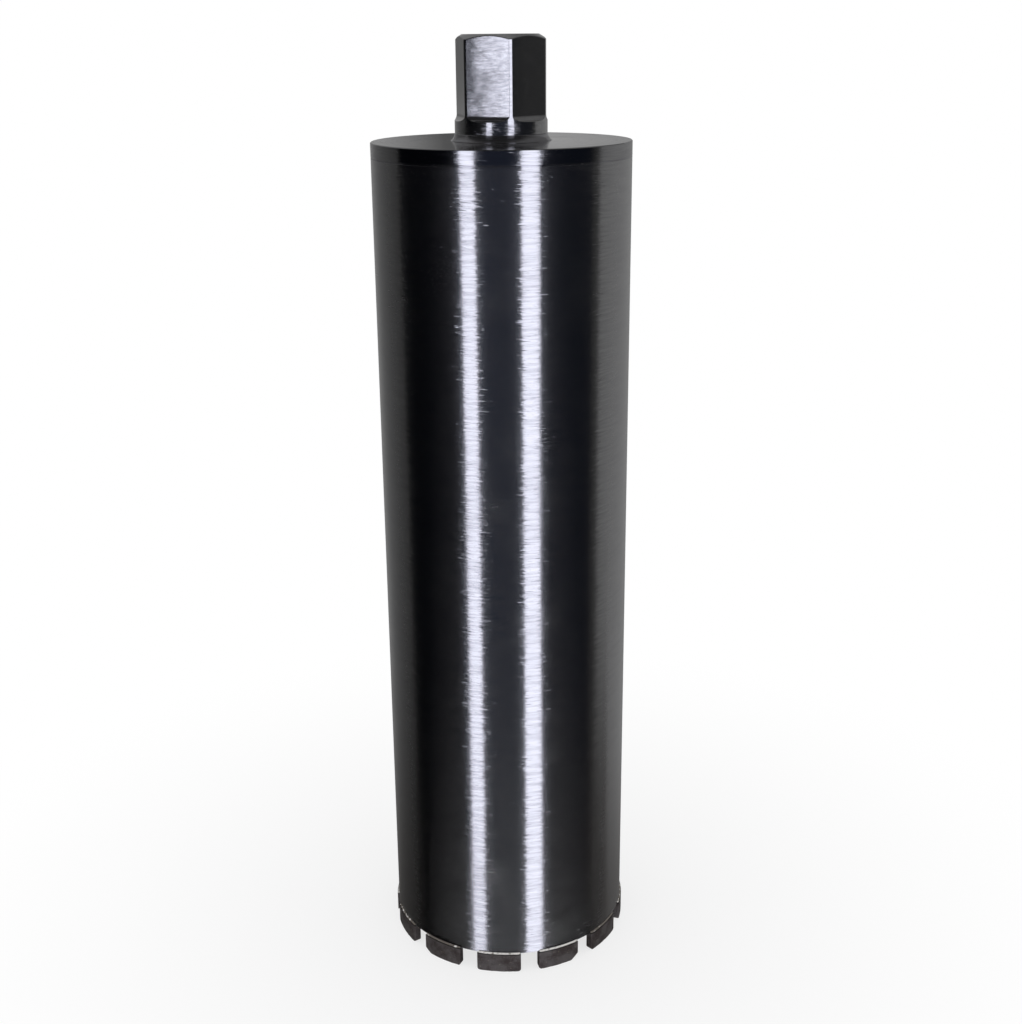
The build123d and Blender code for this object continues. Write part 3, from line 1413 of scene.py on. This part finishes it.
@dataclass(frozen=True)
class Card:
    """A curved card that stands round the bit and is seen only in its reflections."""

    start: float  # degrees from the bit's front
    end: float
    start_tone: float
    end_tone: float
    foot_share: float = 1.0  # its tone at the foot, as a share
    low: float = -3.0
    high: float = 0.85
    tint: Colour = WHITE
    foot_tint: Colour = WHITE
    radius: float = 2.4
    head_radius: float = 2.4
    fade_from: float = -0.9
    fade_to: float = -1.6
    pitch: float = 3.0

    def build(self, name: str, front: float, material: bpy.types.Material) -> None:
        """Stand the card up.

        Args:
            name: The card's name.
            front: Azimuth of the bit's front, in degrees.
            material: The cards' material, which reads each corner's tone.
        """
        columns = max(2, round((self.end - self.start) / self.pitch))
        bearings = np.linspace(self.start, self.end, columns + 1)
        tones = np.interp(bearings, (self.start, self.end), (self.start_tone, self.end_tone))
        levels = [(self.low, 1.0), (self.fade_to, 1.0), (self.fade_from, 0.0), (self.high, 0.0)]
        if self.low > self.fade_from:
            levels = [(self.low, 0.0), (self.high, 0.0)]
        around = np.radians(front + bearings)
        rows, paints = [], []
        for level, faded in levels:
            radius = self.head_radius if level == self.high else self.radius
            rows.append(np.column_stack([np.cos(around) * radius, np.sin(around) * radius,
                                         np.full_like(around, level)]))
            tint = np.array(self.tint) * (1 - faded) + np.array(self.foot_tint) * faded
            paints.append(tones[:, None] * (1 - faded + faded * self.foot_share) * tint)
        points, faces = skin(np.array(rows), False, False)
        mesh = bpy.data.meshes.new(name)
        mesh.from_pydata(points.tolist(), [], faces)
        paint = mesh.color_attributes.new("tone", "FLOAT_COLOR", "POINT")
        colours = np.ones((len(points), 4))
        colours[:, :3] = np.array(paints).reshape(-1, 3)
        paint.data.foreach_set("color", colours.ravel())
        mesh.materials.append(material)
        card = placed(name, mesh)
        for kind in ("camera", "diffuse", "shadow", "transmission", "volume_scatter"):
            setattr(card, f"visible_{kind}", False)


BLUE = (0.50, 0.62, 1.0)
PALE_BLUE = (0.82, 0.85, 1.0)
WARM = (1.0, 0.93, 0.88)
SOFTBOXES = (
    Softbox("left_strip", -29.3, 12.2, 1.6, low=-1.9),
    Softbox("left_strip_wing", -35.95, 1.3, 1.6, low=0.25),
    Softbox("right_strip", 24.2, 14.4, 1.65, low=-2.3),
    Softbox("right_strip_head", 16.45, 1.1, 1.65, low=-0.15, high=0.3),
    Softbox("right_strip_shoulder", 31.95, 1.1, 1.65, low=-0.15, high=0.3),
    Softbox("right_strip_foot", 32.3, 1.8, 1.65, low=-2.3, high=-0.85),
)
STANDING_CARDS = (
    Card(-40.0, 34.0, 0.026, 0.026, 0.6, tint=BLUE, foot_tint=PALE_BLUE),
    Card(34.0, 84.0, 0.010, 0.009, 1.2, tint=BLUE, foot_tint=WARM),
    Card(84.0, 91.0, 0.020, 0.030, 0.8, foot_tint=WARM),
    Card(91.0, 95.0, 0.035, 0.15, 0.4, foot_tint=WARM),
    Card(95.0, 115.0, 0.16, 0.184, 0.2, high=1.3, foot_tint=WARM, fade_from=-0.8, fade_to=-1.25),
    Card(115.0, 172.0, 0.184, 0.24, 0.3, high=1.3, foot_tint=WARM, fade_from=-1.1),
    Card(172.0, 188.0, 0.26, 0.28, 0.3, high=0.2, foot_tint=WARM),
    Card(172.0, 179.0, 0.26, 0.37, low=0.2, high=1.3),
    Card(179.0, 183.0, 0.10, 0.09, low=0.2, high=1.3),
    Card(183.0, 188.0, 0.10, 0.40, low=0.2, high=1.3),
    Card(188.0, 222.0, 0.28, 0.11, 0.27, high=1.3, foot_tint=WARM),
    Card(200.5, 206.5, 0.09, 0.10, low=0.36, high=0.62, radius=2.3, head_radius=2.3),
    Card(222.0, 238.0, 0.11, 0.074, 0.3, high=1.3, foot_tint=WARM),
    Card(238.0, 258.5, 0.074, 0.042, 0.3, high=1.3, foot_tint=WARM),
    Card(258.5, 263.0, 0.042, 0.003, 0.4, high=1.3, foot_tint=WARM),
    Card(263.0, 320.0, 0.002, 0.003, 0.9, tint=BLUE, foot_tint=WARM),
)
UPPER_CARDS = (
    Card(-96.0, 55.0, 0.02, 0.02, low=0.85, high=3.2, head_radius=0.05),
    Card(55.0, 95.0, 0.02, 0.12, low=0.85, high=3.2, head_radius=0.05),
    Card(95.0, 165.0, 0.12, 0.12, low=1.3, high=3.2, head_radius=0.05),
    Card(165.0, 264.0, 0.22, 0.14, low=1.3, high=3.2, head_radius=0.05),
)


@dataclass
class Studio:
    """The floor, the cards that the steel reflects, the lights and the world."""

    front: float = Camera.azimuth
    floor_radius: float = 9.0
    floor_sides: int = 96
    floor_white: float = 0.88
    fade_start: float = 0.06
    fade_end: float = 0.40
    near_glow: float = 0.72
    fill: float = 0.9

    def build(self) -> None:
        """Set up the studio."""
        self.build_floor()
        self.build_cards()
        self.build_world()
        for box in SOFTBOXES:
            box.build(self.front)
        bpy.context.scene.view_settings.view_transform = "Standard"

    def build_floor(self) -> None:
        """Lay a pale floor that fades into the backdrop and is clear from below."""
        tree = NodeTree(bpy.data.materials.new("pale_floor"))
        distance = tree.radius(tree.parts())
        matt = tree.add("ShaderNodeBsdfDiffuse", {"Color": (self.floor_white,) * 3})
        glow = tree.add("ShaderNodeEmission", {"Color": WHITE, "Strength": 1.0})
        seen = tree.add("ShaderNodeLightPath").outputs["Is Camera Ray"]
        fade = tree.span(distance, self.fade_start, self.fade_end, self.near_glow, 1.0)
        far = tree.math("MULTIPLY", seen, fade)
        mix = tree.add("ShaderNodeMixShader", {0: far, 1: matt.outputs[0], 2: glow.outputs[0]})
        below = tree.add("ShaderNodeNewGeometry").outputs["Backfacing"]
        clear = tree.add("ShaderNodeBsdfTransparent")
        open_below = tree.add("ShaderNodeMixShader", {0: below, 1: mix.outputs[0], 2: clear.outputs[0]})
        around = np.linspace(0.0, 2 * math.pi, self.floor_sides, endpoint=False)
        points = [(self.floor_radius * math.cos(turn), self.floor_radius * math.sin(turn), 0.0)
                  for turn in around]
        mesh = bpy.data.meshes.new("floor")
        mesh.from_pydata(points, [], [tuple(range(self.floor_sides))])
        mesh.materials.append(tree.finish(open_below))
        floor = placed("floor", mesh)
        floor.visible_glossy = False

    def build_cards(self) -> None:
        """Stand the cards round the bit, the upper ones leaning in over it."""
        tree = NodeTree(bpy.data.materials.new("studio_cards"))
        tone = tree.add("ShaderNodeAttribute", attribute_name="tone").outputs["Color"]
        painted = tree.finish(tree.add("ShaderNodeEmission", {"Color": tone, "Strength": 1.0}))
        for number, card in enumerate(STANDING_CARDS + UPPER_CARDS, start=1):
            card.build(f"card_{number:02d}", self.front, painted)

    def build_world(self) -> None:
        """Light the set evenly, and show white behind it."""
        tree = NodeTree(bpy.data.worlds.new("studio"))
        path = tree.add("ShaderNodeLightPath").outputs
        seen = tree.math("MAXIMUM", path["Is Camera Ray"], path["Is Glossy Ray"])
        shown = tree.math("MAXIMUM", seen, path["Is Transmission Ray"])
        levels = {"Value": shown, "To Min": self.fill, "To Max": 1.0}
        strength = tree.add("ShaderNodeMapRange", levels).outputs[0]
        background = tree.add("ShaderNodeBackground", {"Color": WHITE, "Strength": strength})
        bpy.context.scene.world = tree.finish(background, "World")


def main() -> None:
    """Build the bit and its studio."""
    logging.basicConfig(level=logging.INFO, format="%(name)s: %(message)s")
    sizes = BitSizes()
    Barrel(sizes).build()
    EndPlate(sizes).build()
    Hub(sizes).build()
    Crown(sizes).build()
    Camera().build()
    Studio().build()


if __name__ == "__main__":
    main()
